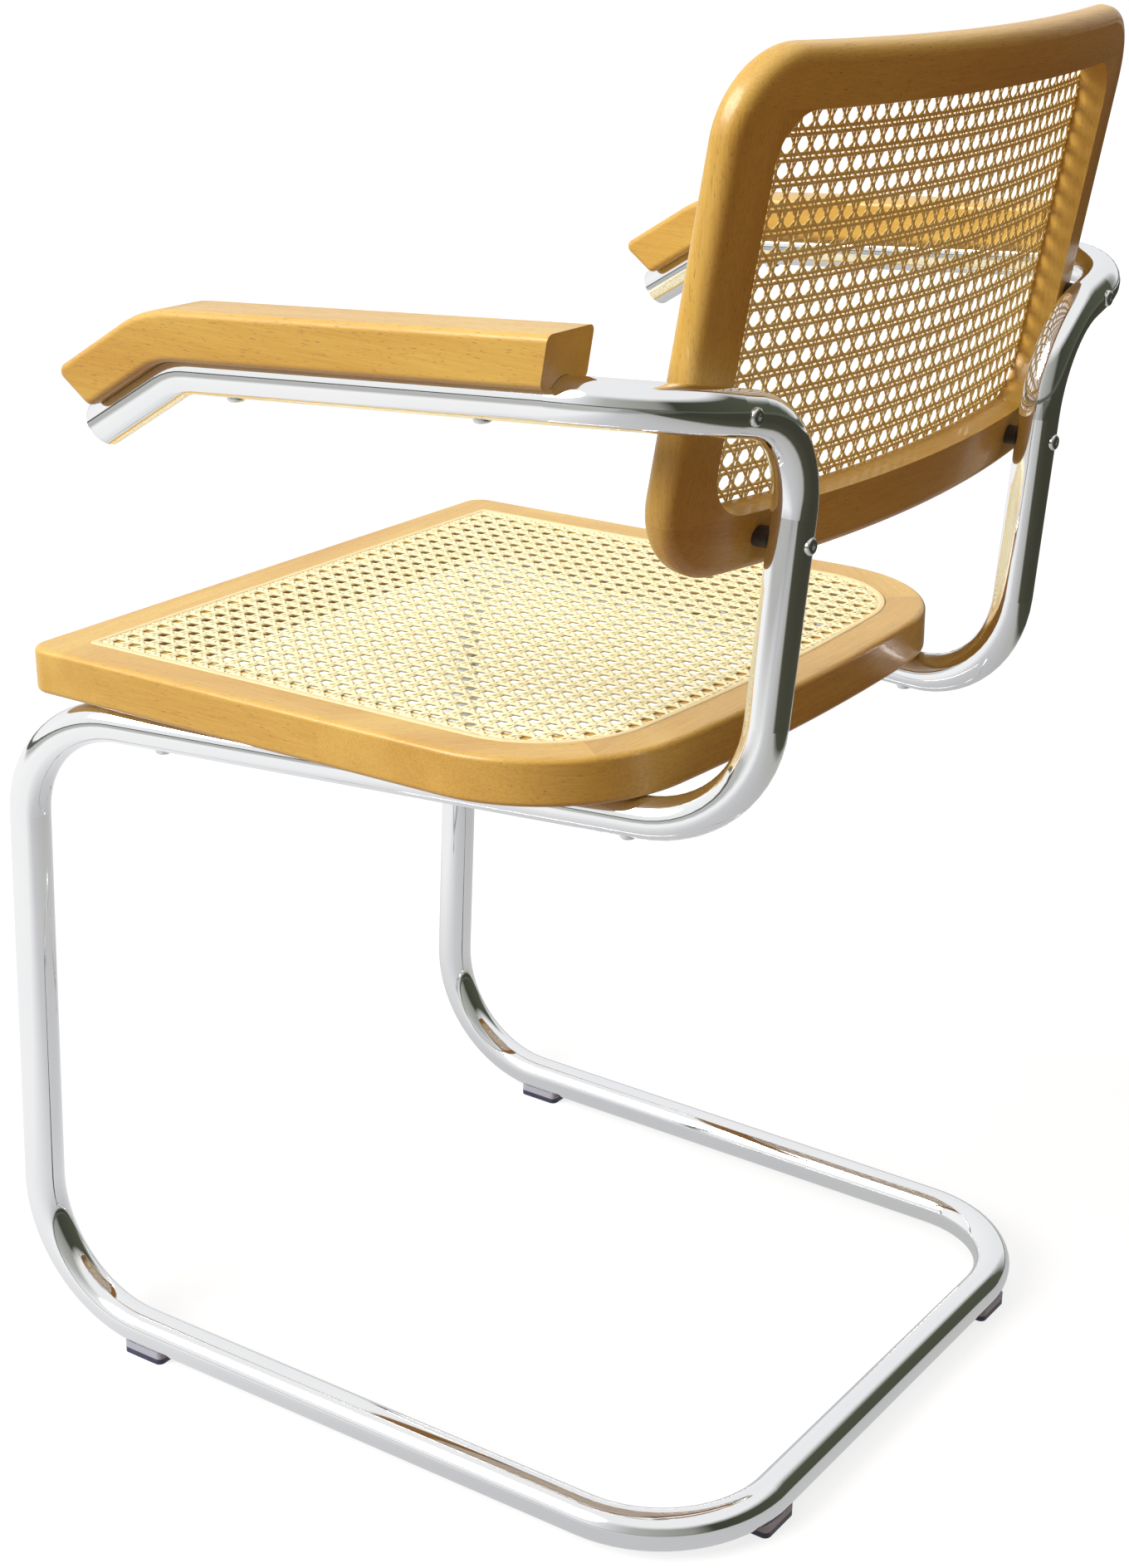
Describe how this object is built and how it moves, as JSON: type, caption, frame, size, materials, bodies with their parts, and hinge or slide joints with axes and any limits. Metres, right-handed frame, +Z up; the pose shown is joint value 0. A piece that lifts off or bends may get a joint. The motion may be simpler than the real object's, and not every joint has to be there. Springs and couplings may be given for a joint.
{
  "type": "cantilever chair",
  "caption": "Cantilever armchair: bent chromed tube sides on a floor loop carry a cane seat and a curved cane back in beech frames, with wooden armrests.",
  "frame": {"origin": "centre of the bounding box in plan, on the floor under the foot pads", "axes": "+Z up, -Y the way the sitter faces, +X to the sitter's left; the chair is the same on both sides of X = 0"},
  "size_m": [0.5816, 0.5431, 0.8676],
  "materials": {
    "chrome": "polished",
    "beech": "satin lacquer",
    "cane": "woven",
    "reed": "satin",
    "pad": "matte",
    "spacer": "matte",
    "screw": "plated"
  },
  "bodies": {
    "root": {"left_side_tube": "chrome", "right_side_tube": "chrome", "frame_joint_sleeve": "screw", "left_tube_end_cap": "chrome", "right_tube_end_cap": "chrome", "front_left_foot_pad": "pad", "front_right_foot_pad": "pad", "rear_left_foot_pad": "pad", "rear_right_foot_pad": "pad", "left_armrest": "beech", "right_armrest": "beech", "armrest_screws": "screw", "seat_front_rail": "beech", "seat_left_side_rail": "beech", "seat_right_side_rail": "beech", "seat_left_corner": "beech", "seat_right_corner": "beech", "seat_rear_rail": "beech", "seat_cane_panel": "cane", "seat_spline": "reed", "seat_screws": "screw", "back_top_rail": "beech", "back_bottom_rail": "beech", "back_left_stile": "beech", "back_right_stile": "beech", "back_cane_panel": "cane", "back_spline": "reed", "back_lower_spacers": "spacer", "back_upper_spacers": "spacer", "back_screws": "screw"}
  },
  "joints": []
}
